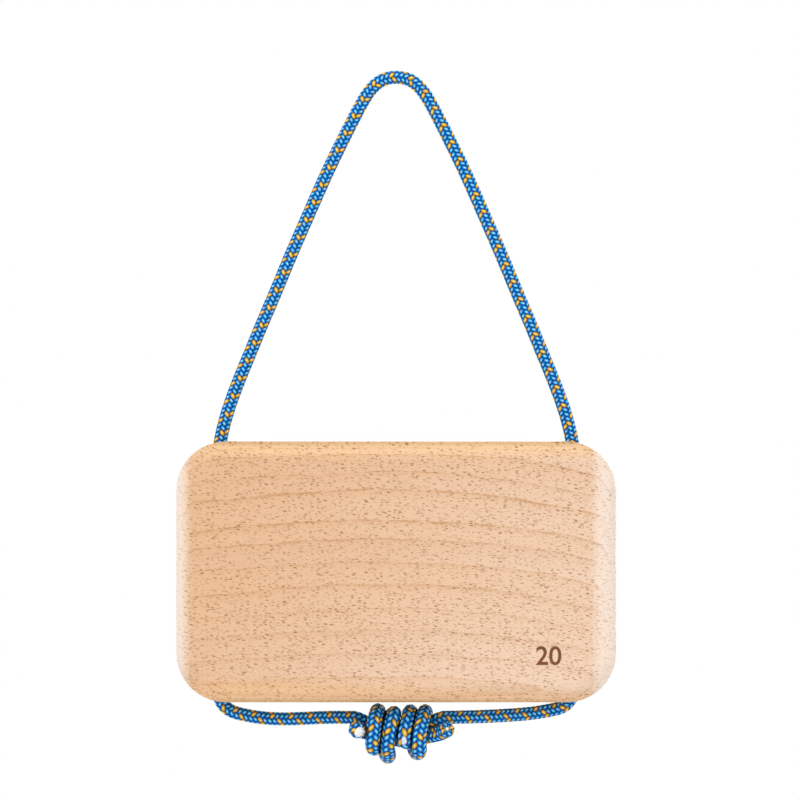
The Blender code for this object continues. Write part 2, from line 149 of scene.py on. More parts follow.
# The braided sheath: eight strands each way, over two and under two
STRANDS = 16
LAY_LENGTH = 0.0151
CENTRE_STRAND = 3.5
ROUND_STEPS = 60
RING_STEP = 0.0003
WEAVE_RISE = 0.00016
STRAND_CROWN = 0.00012
TRACER_A = 0
TRACER_B = 3
SHEATH_RADIUS = 0.0027
BEND_SHARE = 0.85

# Where strands meet: the least radius that one keeps, the thin gap left to the next one, and how
# near that is before painted shade darkens the sheath, as a share of the radius. It is looked for
# within so many diameters, where the surface faces it by at least so much
LEAST_RADIUS = CORD_RADIUS * 0.9
STRAND_GAP = 0.00004
CREASE_SHADE_REACH = 0.32
LOOK_WITHIN = 3
LEAST_FACING = 0.05

# How far the loop and the ends reach into the bores, and half of the stretch left between them
IN_BORE = 0.020
HALF_STRETCH = BLOCK_HEIGHT / 2 - IN_BORE

# Where the marks lie. On the loop: the turn from the camera's side in degrees, by the share of its
# length, and then the length from the left bore and how far the marks are slipped along the cord.
# On the ends: the length from inside the bore, how far they are slipped, and their turn
LOOP_TURN = ((0.0, 24.0), (0.35, 20.0), (0.5, 0.0), (0.65, 10.0), (1.0, 16.0))
LOOP_SLIP = (
    (0.000, 0.00258), (0.024, 0.00230), (0.080, 0.00214), (0.130, 0.00200), (0.155, 0.00222),
    (0.180, 0.00262), (0.280, 0.00262), (0.327, 0.00246),
)
LEFT_MARKS = (
    (0.0000, -0.00325, -43), (0.0750, -0.00325, -43), (0.1225, -0.00200, -100),
    (0.1345, -0.00190, -115), (0.1650, -0.00220, -79), (0.1750, -0.00310, -79),
    (0.1840, -0.00230, -79),
)
RIGHT_MARKS = (
    (0.0000, 0.00290, -28), (0.0720, 0.00290, -28), (0.1140, 0.00230, -96),
    (0.1260, 0.00260, -100), (0.1650, 0.00320, -30), (0.1750, 0.00270, -47),
    (0.1830, 0.00220, -68),
)

# The ends swell as they come into the knot: from how far before it, over what length, how much
SWELL_BEFORE = 0.004
SWELL_LENGTH = 0.010
KNOT_SWELL = 0.00035

# The cut tails, from the knot's centre. The right bore's end comes out on the left, turns to the
# camera and is frayed open, and the left bore's comes out on the right, closed over its core
TAIL_CUT = 0.0032
OPEN_TAIL = (
    (-0.0166, -0.0046, 0.0010), (-0.0176, -0.0062, 0.0011), (-0.0171, -0.0078, 0.0005),
    (-0.0158, -0.0092, -0.0002),
)
CLOSED_TAIL = ((0.0182, -0.0048, -0.0002), (0.0195, -0.0068, 0.0006), (0.0191, -0.0092, 0.0010))
FLARE_LENGTH = 0.0030
LIP_LENGTH = 0.0009
CLOSED_LENGTH = 0.0024
OPEN_RADIUS = 0.0032
OPEN_RIM = 0.0019
CLOSED_RIM = 0.0005

# The core that shows at a cut tail
CutCore = namedtuple("CutCore", "radius height fibres")
OPEN_CORE = CutCore(radius=OPEN_RIM + 0.0002, height=0.0012, fibres=70)
CLOSED_CORE = CutCore(radius=CLOSED_RIM, height=0.0002, fibres=12)
FIBRE_RADIUS = 0.0001
FIBRE_TAPER = (1.0, 0.9, 0.35)
FIBRE_SIDES = 4
FIBRE_SEED = 7

# The cord's two ends, named after the bores that they come from
CordEnd = namedtuple("CordEnd", "name side slack shape run marks tail core is_open")
LEFT_END = CordEnd(name="left", side=-1, slack=SLACK_LEFT, shape=LOWER_LEFT, run=RUN_LEFT,
                   marks=LEFT_MARKS, tail=CLOSED_TAIL, core=CLOSED_CORE, is_open=False)
RIGHT_END = CordEnd(name="right", side=1, slack=SLACK_RIGHT, shape=LOWER_RIGHT, run=RUN_RIGHT,
                    marks=RIGHT_MARKS, tail=OPEN_TAIL, core=OPEN_CORE, is_open=True)

# A rubbed place on the front of the third wrap
RUB_PLACE = np.array((0.0031, -0.0045, -0.2606))
RUB_WIDE = 0.0016
RUB_TALL = 0.0026

# The number on the front: its place, its digits' height, the font's size for one of height, how
# much its strokes grow, and how far it is raised and stands off the wood
NUMBER = "20"
NUMBER_X = 0.0550
NUMBER_Z = -0.2301
DIGIT_HEIGHT = 0.0076
FONT_PER_HEIGHT = 1.37
STROKE_GROWTH = 0.00012
NUMBER_RAISE = 0.00002
NUMBER_STAND_OFF = 0.00003

# Edges steeper than this are shaded sharp, and points nearer than this are one
STEEP_EDGE = math.radians(35)
SAME_POINT = 0.000002

# The picture: its width at the object, its middle, and the lens
PICTURE_WIDTH = 0.3176
PICTURE_X = 0.0015
PICTURE_Z = -0.1256
LENS = 400.0
SENSOR = 36.0

# The lamps, each with its place and power, and the soft light from all sides
LAMPS = (
    ("left_lamp", (-1.0, -0.5, 0.1), 3.6),
    ("right_lamp", (1.0, -0.5, 0.0), 2.6),
    ("top_lamp", (0.0, -0.8, 0.9), 6.0),
    ("back_lamp", (0.3, 1.2, 0.0), 4.5),
)
LAMP_AIM = (0.0, 0.0, -0.14)
LAMP_SIZE = 0.6
FILL = 0.69

# The floor, which fades out between two distances from its middle
FLOOR_RADIUS = 0.6
FLOOR_Z = -0.42
FADE_START = 0.25
FADE_END = 0.58


def lengths_along(points):
    """How far along a line each of its points lies."""
    spans = np.linalg.norm(np.diff(points, axis=0), axis=1)
    return np.concatenate(([0.0], np.cumsum(spans)))


def points_at(points, places):
    """Where a line is at the given lengths along it."""
    lengths = lengths_along(points)
    return np.column_stack([np.interp(places, lengths, points[:, axis]) for axis in range(3)])


def even_points(points, step):
    """The same line with its points an even step apart."""
    whole = lengths_along(points)[-1]
    return points_at(points, np.linspace(0.0, whole, max(2, round(whole / step) + 1)))


def cut_line(points, start, end):
    """The stretch of a line between two lengths along it."""
    lengths = lengths_along(points)
    inside = lengths[(lengths > start + 1e-9) & (lengths < end - 1e-9)]
    return points_at(points, np.concatenate(([start], inside, [end])))


def smooth_line(points):
    """The same line with small kinks drawn out of it."""
    for _ in range(SMOOTH_TURNS):
        middle = (points[:-2] + points[2:]) / 2
        points[1:-1] += 0.5 * (middle - points[1:-1])
    return points


def spline_through(points, step):
    """Points at an even step along a smooth curve through the given points."""
    points = np.array(points, dtype=float)
    places = lengths_along(points)
    spans = np.diff(places)
    count = len(points)
    system = np.zeros((count, count))
    wanted = np.zeros((count, 3))
    system[0, 0] = system[-1, -1] = 1.0
    for i in range(1, count - 1):
        before = spans[i - 1]
        after = spans[i]
        system[i, i - 1] = before
        system[i, i] = 2 * (before + after)
        system[i, i + 1] = after
        wanted[i] = 6 * ((points[i + 1] - points[i]) / after - (points[i] - points[i - 1]) / before)
    bends = np.linalg.solve(system, wanted)

    def at(place):
        """Where the curve is at a length along the given points."""
        i = min(int(np.searchsorted(places, place, side="right")) - 1, count - 2)
        span = spans[i]
        left = (places[i + 1] - place) / span
        right = 1.0 - left
        curve = (left ** 3 - left) * bends[i] + (right ** 3 - right) * bends[i + 1]
        return left * points[i] + right * points[i + 1] + curve * span ** 2 / 6

    samples = np.linspace(0.0, places[-1], SAMPLES_PER_POINT * count)
    return even_points(np.array([at(place) for place in samples]), step)


def loop_route():
    """Centreline of the free loop, from the left bore's middle to the right bore's middle."""
    middle = (BLOCK_TOP + BLOCK_BOTTOM) / 2
    right = []
    for across, down in LOOP_SHAPE:
        z = CORD_RADIUS if down is None else -down * HANG_HEIGHT
        right.append((across * CORD_X, 0.0, z))
    for depth in DEPTHS_IN_BORE:
        right.append((CORD_X, 0.0, BLOCK_TOP - depth))
    right.append((CORD_X, 0.0, middle))
    left = [(-x, y, z) for x, y, z in right[:0:-1]]
    return spline_through(left + right, FINE_STEP)


def lower_route(end):
    """Centreline from the middle of one bore down to where the knot's strand starts."""
    points = [(end.side * CORD_X, 0.0, (BLOCK_TOP + BLOCK_BOTTOM) / 2)]
    for height in HEIGHTS_IN_BORE:
        points.append((end.side * CORD_X, 0.0, BLOCK_BOTTOM + MOUTH_ROUND + height))
    edge_x = BORE_X - BORE_RADIUS - MOUTH_ROUND
    for angle in MOUTH_ANGLES:
        reach = MOUTH_ROUND + CORD_RADIUS + CORD_GAP + end.slack * angle / MOUTH_ANGLES[-1]
        points.append((end.side * (edge_x + reach * math.cos(math.radians(angle))), 0.0,
                       BLOCK_BOTTOM + MOUTH_ROUND - reach * math.sin(math.radians(angle))))
    for inwards, down in end.shape:
        points.append((end.side * (BORE_X - inwards), 0.0, BLOCK_BOTTOM - down))
    for place in end.run[:2]:
        points.append(tuple(KNOT_CENTRE + CORD_DIAMETER * np.array(place)))
    return spline_through(points, FINE_STEP)


def wrap_arc(centre_x, first, last):
    """Points of one wrap on the camera's side, in cord diameters; angles from that side up."""
    arc = []
    for angle in np.radians(np.linspace(first, last, WRAP_POINTS)):
        arc.append((centre_x + WRAP_LEAN * math.sin(angle), -WRAP_DEPTH * math.cos(angle),
                    WRAP_RADIUS * math.sin(angle)))
    return arc


def barrel_points():
    """The right barrel's two wraps and the legs behind them, in cord diameters."""
    points = list(FIRST_LEG)
    points += wrap_arc(OUTER_WRAP_X, 90, -80)
    points += SECOND_LEG
    points += wrap_arc(INNER_WRAP_X, 80, -80)
    return points


def rolled(points):
    """Points turned about the knot's long axis, its upper side going back."""
    sine = math.sin(KNOT_ROLL)
    cosine = math.cos(KNOT_ROLL)
    return [(x, y * cosine + z * sine, z * cosine - y * sine) for x, y, z in points]


def knot_routes():
    """Centrelines of the two strands, eased apart until they clear each other."""
    barrel = barrel_points()
    turned = [(-x, y, -z) for x, y, z in barrel]
    first = list(RUN_LEFT) + rolled(list(ENTRY_LEFT) + barrel + list(TUCK_RIGHT)) + list(TAIL_RIGHT)
    second = list(RUN_RIGHT) + rolled(list(ENTRY_RIGHT) + turned + list(TUCK_LEFT)) + list(TAIL_LEFT)
    strands = []
    for route in (first, second):
        points = KNOT_CENTRE + CORD_DIAMETER * np.array(route)
        strands.append(spline_through(points, EASE_STEP))
    return ease_apart(strands)


def ease_apart(strands):
    """Push the strands off each other, and smooth them, until no two stretches are too near."""
    apart = CORD_DIAMETER + KNOT_GAP
    count = len(strands[0])
    points = np.concatenate(strands)
    total = len(points)
    order = np.arange(total)
    strand = order >= count
    same = strand[:, None] == strand[None, :]
    near = same & (abs(order[:, None] - order[None, :]) * EASE_STEP < SAME_STRETCH * apart)
    hold = int(HELD_START * CORD_DIAMETER / EASE_STEP)
    held = np.zeros(total, dtype=bool)
    held[:hold] = True
    held[count:count + hold] = True
    inner = ~held
    inner[[count - 1, total - 1]] = False
    for turn in range(EASE_TURNS):
        # Each point is pushed off the others that are too near and not beside it on its strand
        gaps = points[:, None, :] - points[None, :, :]
        distance = np.linalg.norm(gaps, axis=2) + 1e-12
        short = np.clip(EASE_MARGIN * apart - distance, 0.0, None)
        short[near] = 0.0
        push = (gaps / distance[:, :, None] * short[:, :, None]).sum(axis=1)
        push *= EASE_PUSH / np.sqrt(np.maximum((short > 0).sum(axis=1), 1))[:, None]
        points[~held] += push[~held]
        # Each point is drawn towards its neighbours' middle, strongly where the bend is too tight
        bend = np.zeros_like(points)
        bend[1:-1] = (points[:-2] + points[2:]) / 2 - points[1:-1]
        size = np.linalg.norm(bend, axis=1)
        allowed = EASE_STEP ** 2 / (2 * TIGHTEST_BEND)
        share = np.clip((size - allowed) / np.maximum(size, 1e-9), 0.0, 1.0) * BEND_PULL
        amount = np.maximum(share, EASE_PULL)[:, None]
        points[inner] += (bend * amount)[inner]
        if turn % SPREAD_EVERY == SPREAD_EVERY - 1:
            points[:count] = spread_evenly(points[:count], hold)
            points[count:] = spread_evenly(points[count:], hold)
    return [points[:count], points[count:]]


def spread_evenly(points, hold):
    """The same line and number of points, with those past the held ones an even step apart."""
    free = points[hold - 1:]
    even = points_at(free, np.linspace(0.0, lengths_along(free)[-1], len(free)))
    return np.concatenate((points[:hold - 1], even))


def put_in_scene(name, data):
    """A new object in the scene."""
    thing = bpy.data.objects.new(name, data)
    bpy.context.scene.collection.objects.link(thing)
    return thing


def keep_on_points(mesh, name, values):
    """Keep a number on each of a mesh's points, for its material."""
    attribute = mesh.attributes.new(name, "FLOAT", "POINT")
    attribute.data.foreach_set("value", values.astype(np.float32))


def by_length(pairs):
    """A value that changes along a line, from lengths and values."""
    places = [place for place, _ in pairs]
    values = [value for _, value in pairs]
    return lambda lengths: np.interp(lengths, places, values)


def even_girth(lengths):
    """The cord's free radius."""
    return np.full(len(lengths), SHEATH_RADIUS)


def drawn_in(radius, left, length, rim):
    """A radius drawn in to a rim in a quarter round, over the last length of the line."""
    curve = np.sqrt(np.clip(1 - (1 - left / length) ** 2, 0.0, 1.0))
    return np.where(left < length, rim + (radius - rim) * curve, radius)


def end_girth(tied, whole, is_open):
    """The radius of one end of the cord, swollen in the knot and shaped at its cut."""

    def girth(lengths):
        """The radius by the length along the line."""
        share = np.clip((lengths - tied + SWELL_BEFORE) / SWELL_LENGTH, 0.0, 1.0)
        radius = SHEATH_RADIUS + KNOT_SWELL * share * share * (3 - 2 * share)
        left = whole - lengths
        if not is_open:
            return drawn_in(radius, left, CLOSED_LENGTH, CLOSED_RIM)
        flare = np.clip(1 - left / FLARE_LENGTH, 0.0, 1.0)
        radius = radius + (OPEN_RADIUS - radius) * flare
        return drawn_in(radius, left, LIP_LENGTH, OPEN_RIM)

    return girth


def room_beside(others, own):
    """How far a strand's surface can stand out before it meets the middle of the way to another."""

    def room(rings, outwards):
        """The room at each place round each ring."""
        own_lengths = lengths_along(own)
        ring_lengths = lengths_along(rings)
        result = np.full(outwards.shape[:2], 1.0)
        for i, (centre, directions) in enumerate(zip(rings, outwards)):
            apart = abs(own_lengths - ring_lengths[i]) > SAME_STRETCH * CORD_DIAMETER
            gaps = np.concatenate((others - centre, own[apart] - centre))
            distance = np.linalg.norm(gaps, axis=1)
            close = distance < LOOK_WITHIN * CORD_DIAMETER
            gaps = gaps[close]
            distance = distance[close]
            cosine = directions @ gaps.T / distance
            reach = distance / 2 / np.maximum(cosine, LEAST_FACING)
            result[i] = np.where(cosine > LEAST_FACING, reach, 1.0).min(axis=1)
        return np.maximum(result - STRAND_GAP, LEAST_RADIUS)

    return room


def weave_rise(a, b):
    """How high the sheath's upper strand lies at a place in the weave."""
    first = np.round(a)
    second = np.round(b)
    first_rise = (WEAVE_RISE * np.cos(math.pi / 2 * (b + first - 0.5))
                  - STRAND_CROWN * (2 * (a - first)) ** 2)
    second_rise = (WEAVE_RISE * np.cos(math.pi / 2 * (a + second - 2.5))
                   - STRAND_CROWN * (2 * (b - second)) ** 2)
    return np.maximum(first_rise, second_rise)


def round_the_rings(rings, angles, flow):
    """The way the cord runs at each ring, and the directions out from it at the given angles."""
    forward = np.gradient(rings, axis=0)
    forward /= np.linalg.norm(forward, axis=1)[:, None] * flow
    side = np.array((0.0, -1.0, 0.0))
    sides = []
    for direction in forward:
        side = side - direction * (side @ direction)
        side = side / np.linalg.norm(side)
        sides.append(side)
    sides = np.array(sides)
    others = np.cross(forward, sides)
    outwards = (np.cos(angles)[None, :, None] * sides[:, None, :]
                + np.sin(angles)[None, :, None] * others[:, None, :])
    return forward, outwards


def tube_faces(count, flow):
    """A tube's faces between its rings, and then its caps, round a point at each end."""
    faces = []
    for ring in range(count - 1):
        for step in range(ROUND_STEPS):
            next_step = (step + 1) % ROUND_STEPS
            face = (ring * ROUND_STEPS + step, ring * ROUND_STEPS + next_step,
                    (ring + 1) * ROUND_STEPS + next_step, (ring + 1) * ROUND_STEPS + step)
            faces.append(face if flow > 0 else face[::-1])
    for at_end, ring in ((False, 0), (True, count - 1)):
        middle = count * ROUND_STEPS + at_end
        for step in range(ROUND_STEPS):
            next_step = (step + 1) % ROUND_STEPS
            face = (middle, ring * ROUND_STEPS + next_step, ring * ROUND_STEPS + step)
            faces.append(face if (flow > 0) != at_end else face[::-1])
    return faces


def lay_weave(mesh, turned, along, flow):
    """Give each corner between a tube's rings its place in the weave, one number for each way."""
    spans = len(along) - 1
    # The last faces round the tube run on past the first column, so the pattern has no jump in it
    ring_index = np.array([(ring, ring, ring + 1, ring + 1) for ring in range(spans)])
    ring_index = np.repeat(ring_index, ROUND_STEPS, axis=0)
    step_index = np.array([(step, step + 1, step + 1, step) for step in range(ROUND_STEPS)])
    step_index = np.tile(step_index, (spans, 1))
    if flow < 0:
        ring_index = ring_index[:, ::-1]
        step_index = step_index[:, ::-1]
    wide = turned[ring_index, step_index % ROUND_STEPS] + STRANDS * (step_index // ROUND_STEPS)
    far = along[ring_index]
    weave = np.zeros((len(mesh.loops), 3), dtype=np.float32)
    weave[:far.size, 0] = ((wide - far) / 2).reshape(-1)
    weave[:far.size, 1] = ((wide + far) / 2).reshape(-1)
    attribute = mesh.attributes.new("weave", "FLOAT_VECTOR", "CORNER")
    attribute.data.foreach_set("vector", weave.reshape(-1))


def braided_tube(name, line, start, flow, facing, girth, material, room=None):
    """The cord's braided sheath along a line.

    start is how far the marks are slipped along the cord, flow is 1 or -1 for the way the cord
    runs, facing gives the angle that the marks turn from the camera's side, and girth the radius.
    All but flow go by the length along the line. room is how far the sheath may stand out.
    """
    rings = even_points(line, RING_STEP)
    lengths = lengths_along(rings)
    angles = np.linspace(0.0, 2 * math.pi, ROUND_STEPS, endpoint=False)
    forward, outwards = round_the_rings(rings, angles, flow)
    along = (start(lengths) + flow * lengths) / (LAY_LENGTH / STRANDS)
    turns = angles[None, :] - np.radians(facing(lengths))[:, None]
    turned = STRANDS / (2 * math.pi) * turns + CENTRE_STRAND
    radius = np.repeat(girth(lengths)[:, None], ROUND_STEPS, axis=1)
    # How strongly painted shade darkens the sheath where another strand comes near
    crease_shade = np.zeros(radius.shape)
    if room is not None:
        free = room(rings, outwards)
        crease_shade = np.clip(1.0 - (free / radius - 1.0) / CREASE_SHADE_REACH, 0.0, 1.0)
        radius = np.minimum(radius, free)
    # On the inside of a tight bend the sheath is squeezed, and stays short of the bend's centre
    bend = np.gradient(forward * flow, lengths, axis=0)
    inwards = (outwards * bend[:, None, :]).sum(axis=2)
    radius = np.minimum(radius, BEND_SHARE / np.maximum(inwards, 1.0))
    a = (turned - along[:, None]) / 2
    b = (turned + along[:, None]) / 2
    radius = radius - WEAVE_RISE + weave_rise(a, b)
    places = rings[:, None, :] + outwards * radius[:, :, None]
    vertices = np.concatenate((places.reshape(-1, 3), rings[[0, -1]]))
    mesh = bpy.data.meshes.new(name)
    mesh.from_pydata(vertices.tolist(), [], tube_faces(len(rings), flow))
    lay_weave(mesh, turned, along, flow)
    keep_on_points(mesh, "pressed", np.append(crease_shade.reshape(-1), (0.0, 0.0)))
    mesh.shade_smooth()
    mesh.materials.append(material)
    return put_in_scene(name, mesh), rings


class Nodes:
    """Builds one material's nodes."""

    def __init__(self, name):
        self.material = bpy.data.materials.new(name)
        self.material.use_nodes = True
        self.tree = self.material.node_tree
        self.shader = self.tree.nodes["Principled BSDF"]

    def put(self, socket, value):
        """Join a value or another node's output to a socket."""
        if isinstance(value, bpy.types.NodeSocket):
            self.tree.links.new(value, socket)
        elif isinstance(value, tuple) and len(value) == 3 and len(socket.default_value) == 4:
            socket.default_value = (*value, 1.0)
        else:
            socket.default_value = value

    def add(self, kind, inputs=None, **settings):
        """Add a node with its settings and inputs."""
        node = self.tree.nodes.new(kind)
        for key, value in settings.items():
            setattr(node, key, value)
        for key, value in (inputs or {}).items():
            self.put(node.inputs[key], value)
        return node

    def math(self, operation, *values):
        """The result of a sum."""
        node = self.add("ShaderNodeMath", operation=operation)
        for i, value in enumerate(values):
            self.put(node.inputs[i], value)
        return node.outputs[0]

    def vector(self, operation, *values):
        """The result of a sum with vectors."""
        node = self.add("ShaderNodeVectorMath", operation=operation)
        for i, value in enumerate(values):
            self.put(node.inputs[i], value)
        return node.outputs[0]

    def place(self):
        """Where a point lies on its object."""
        return self.add("ShaderNodeTexCoord").outputs["Object"]

    def kept(self, name, output="Fac"):
        """A value that the mesh keeps."""
        return self.add("ShaderNodeAttribute", attribute_name=name).outputs[output]

    def parts(self, vector):
        """A vector's three numbers."""
        return self.add("ShaderNodeSeparateXYZ", {"Vector": vector}).outputs

    def join(self, x, y, z):
        """A vector from three numbers."""
        return self.add("ShaderNodeCombineXYZ", {"X": x, "Y": y, "Z": z}).outputs[0]

    def mix(self, share, first, second):
        """One colour mixed with another."""
        node = self.add("ShaderNodeMix", data_type="RGBA")
        self.put(node.inputs[0], share)
        self.put(node.inputs[6], first)
        self.put(node.inputs[7], second)
        return node.outputs[2]

    def tint(self, colour, share, strength, other):
        """A colour with another laid over it, by a share of a strength."""
        return self.mix(self.math("MULTIPLY", share, strength), colour, other)

    def between(self, value, low, high):
        """0 below the low value and 1 above the high one, with a smooth step between."""
        node = self.add("ShaderNodeMapRange", {"Value": value, "From Min": low, "From Max": high},
                        interpolation_type="SMOOTHSTEP")
        return node.outputs[0]

    def noise(self, vector, scale, detail=2.0, roughness=0.5):
        """Smooth noise from 0 to 1."""
        node = self.add("ShaderNodeTexNoise", {"Vector": vector, "Scale": scale, "Detail": detail,
                                               "Roughness": roughness})
        return node.outputs[0]

    def stretched_noise(self, place, stretch, detail=2.0, roughness=0.5):
        """Smooth noise with its own stretch along each axis."""
        return self.noise(self.vector("MULTIPLY", place, stretch), 1.0, detail, roughness)

    def bump(self, height, strength, distance):
        """A relief in the shading."""
        node = self.add("ShaderNodeBump", {"Height": height, "Strength": strength,
                                           "Distance": distance})
        return node.outputs[0]

    def finish(self, **inputs):
        """Set the shader's inputs and give back the material."""
        for key, value in inputs.items():
            self.put(self.shader.inputs[key.replace("_", " ")], value)
        return self.material


def sheath_material():
    """Blue braided sheath with yellow marker strands."""
    nodes = Nodes("blue_sheath")
    a, b, _ = nodes.parts(nodes.kept("weave", "Vector"))
    first = nodes.math("ROUND", a)
    second = nodes.math("ROUND", b)
    first_across = nodes.math("MULTIPLY", nodes.math("SUBTRACT", a, first), 2.0)
    second_across = nodes.math("MULTIPLY", nodes.math("SUBTRACT", b, second), 2.0)
    rises = []
    for place, index, across, shift in ((b, first, first_across, 0.5),
                                        (a, second, second_across, 2.5)):
        turn = nodes.math("SUBTRACT", nodes.math("ADD", place, index), shift)
        swell = nodes.math("COSINE", nodes.math("MULTIPLY", turn, math.pi / 2))
        crown = nodes.math("MULTIPLY", across, across)
        crown = nodes.math("MULTIPLY", crown, STRAND_CROWN / WEAVE_RISE)
        rises.append(nodes.math("SUBTRACT", swell, crown))
    first_on_top = nodes.math("GREATER_THAN", rises[0], rises[1])
    rise = nodes.math("MAXIMUM", rises[0], rises[1])
    marks = []
    for index, tracer in ((first, TRACER_A), (second, TRACER_B)):
        turn = nodes.math("FLOORED_MODULO", nodes.math("ADD", index, 0.25), 4.0)
        marks.append(nodes.math("COMPARE", turn, tracer + 0.25, 0.5))

    def upper(first_value, second_value):
        """The value of whichever strand is on top."""
        gap = nodes.math("SUBTRACT", first_value, second_value)
        return nodes.math("MULTIPLY_ADD", gap, first_on_top, second_value)

    mark = upper(marks[0], marks[1])
    across = upper(first_across, second_across)
    run = upper(b, a)
    number = upper(first, nodes.math("ADD", second, 37.0))
    fibre_place = nodes.join(nodes.math("MULTIPLY", across, 3.0), nodes.math("MULTIPLY", run, 0.6),
                             nodes.math("MULTIPLY", number, 5.3))
    fibre = nodes.noise(fibre_place, 2.2)
    # Painted shade where the strands dip under their neighbours, darkest in the weave's low places
    weave_shade = nodes.between(rise, -0.45, 0.75)
    # Painted highlights on each pick's crown, pale where the fibres stand up, with a paler glint at
    # the top
    shine = nodes.math("MULTIPLY_ADD", nodes.math("SUBTRACT", fibre, 0.5), 0.9, rise)
    bright = nodes.between(shine, 0.45, 0.95)
    glint = nodes.between(shine, 0.82, 1.15)
    blue = nodes.mix(weave_shade, (0.001, 0.040, 0.24), (0.003, 0.185, 0.61))
    blue = nodes.mix(bright, blue, (0.13, 0.57, 0.96))
    blue = nodes.mix(glint, blue, (0.55, 0.90, 1.0))
    yellow = nodes.mix(weave_shade, (0.15, 0.05, 0.004), (0.74, 0.375, 0.014))
    yellow = nodes.mix(bright, yellow, (0.85, 0.62, 0.12))
    yellow = nodes.mix(glint, yellow, (0.97, 0.78, 0.30))
    colour = nodes.mix(mark, blue, yellow)
    # Painted shade in the gaps between the picks, wider round the yellow marks
    gap_shade = nodes.between(nodes.math("MULTIPLY_ADD", mark, -0.32, rise), -0.60, -0.05)
    colour = nodes.mix(gap_shade, (0.0, 0.008, 0.035), colour)
    # Painted shade where strands press on each other, as no light gets in there
    dark = nodes.between(nodes.kept("pressed"), 0.0, 0.9)
    colour = nodes.tint(colour, dark, 0.9, (0.0, 0.004, 0.016))
    # White fluff where the sheath is rubbed
    worn = nodes.kept("worn")
    torn = nodes.math("MULTIPLY_ADD", nodes.noise(nodes.place(), 1500.0), 0.8, worn)
    fluff = nodes.between(torn, 0.55, 0.95)
    colour = nodes.tint(colour, fluff, nodes.math("GREATER_THAN", worn, 0.0), (0.80, 0.88, 0.97))
    height = nodes.math("MULTIPLY_ADD", fibre, 0.25, rise)
    bump = nodes.bump(height, 1.0, 0.00035)
    return nodes.finish(Base_Color=colour, Normal=bump, Roughness=0.4, Specular_IOR_Level=0.04)


def core_material():
    """White nylon fibres of the cord's core."""
    nodes = Nodes("white_core")
    grain = nodes.noise(nodes.place(), 2500.0, 3.0)
    colour = nodes.mix(grain, (0.93, 0.95, 0.99), (1.0, 1.0, 1.0))
    return nodes.finish(Base_Color=colour, Normal=nodes.bump(grain, 0.2, 0.0001), Roughness=0.7,
                        Specular_IOR_Level=0.3)


def growth_rings(nodes, place, inwards):
    """The beech's rings: how late in the year a place grew, its ring's dark line and its tint."""
    x, y, z = nodes.parts(place)
    # The rings bow along the block, most at its right end
    bow = nodes.math("MULTIPLY", nodes.math("MULTIPLY", x, x),
                     nodes.math("MULTIPLY_ADD", x, 0.0000014, 0.00026))
    wander = nodes.math("MULTIPLY", nodes.stretched_noise(place, (0.012, 0.02, 0.03)), 1.1)
    ripple = nodes.math("MULTIPLY", nodes.stretched_noise(place, (0.05, 0.05, 0.10), 3.0), 0.55)
    depth = nodes.math("ADD", nodes.math("ADD", inwards, bow), nodes.math("ADD", wander, ripple))
    # They are of uneven width, each with a thin dark line that breaks off here and there
    uneven = nodes.noise(nodes.join(0.0, nodes.math("MULTIPLY", depth, 0.35), 0.0), 1.0, 1.0)
    ring = nodes.math("MULTIPLY_ADD", uneven, 1.2, nodes.math("MULTIPLY", depth, 0.45))
    part = nodes.math("FRACT", ring)
    ring_number = nodes.math("FLOOR", ring)
    late = nodes.between(part, 0.55, 0.99)
    line = nodes.math("MULTIPLY", nodes.between(part, 0.89, 0.97), nodes.between(part, 1.0, 0.988))
    broken = nodes.noise(nodes.join(nodes.math("MULTIPLY", x, 0.13),
                                    nodes.math("MULTIPLY", ring_number, 3.1),
                                    nodes.math("MULTIPLY", y, 0.05)), 1.0, 3.0)
    line = nodes.math("MULTIPLY", line, nodes.between(broken, 0.32, 0.62))
    strength = nodes.math("MULTIPLY_ADD", nodes.between(z, -215.0, -175.0), 0.6, 0.4)
    line = nodes.math("MULTIPLY", line, strength)
    chance = nodes.add("ShaderNodeTexWhiteNoise", {"W": ring_number}, noise_dimensions="1D")
    return late, line, chance.outputs[0]


def ray_flecks(nodes, place, inwards):
    """Where flecks lie: short along the grain, thin across it and deep to the tree's middle."""
    x, y, z = nodes.parts(place)
    around = nodes.math("MULTIPLY_ADD", y, -0.25, z)
    around = nodes.math("MULTIPLY_ADD", x, 0.13, around)
    flecks = []
    for long, thin, deep, start in ((2.3, 0.80, 13.0, 0.0), (1.9, 0.70, 9.0, 51.0)):
        cell = nodes.join(nodes.math("DIVIDE", x, long), nodes.math("DIVIDE", around, thin),
                          nodes.math("DIVIDE", nodes.math("ADD", inwards, start), deep))
        cells = nodes.add("ShaderNodeTexVoronoi", {"Vector": cell, "Scale": 1.0, "Randomness": 0.9})
        chance = nodes.parts(cells.outputs["Color"])
        size = nodes.math("MULTIPLY_ADD", chance[0], 0.20, 0.24)
        spot = nodes.math("SUBTRACT", 1.0, nodes.math("DIVIDE", cells.outputs["Distance"], size))
        spot = nodes.between(spot, 0.0, 0.4)
        flecks.append(nodes.math("MULTIPLY", spot, nodes.math("MULTIPLY_ADD", chance[1], 0.7, 0.3)))
    return nodes.math("MAXIMUM", flecks[0], nodes.math("MULTIPLY", flecks[1], 0.6))


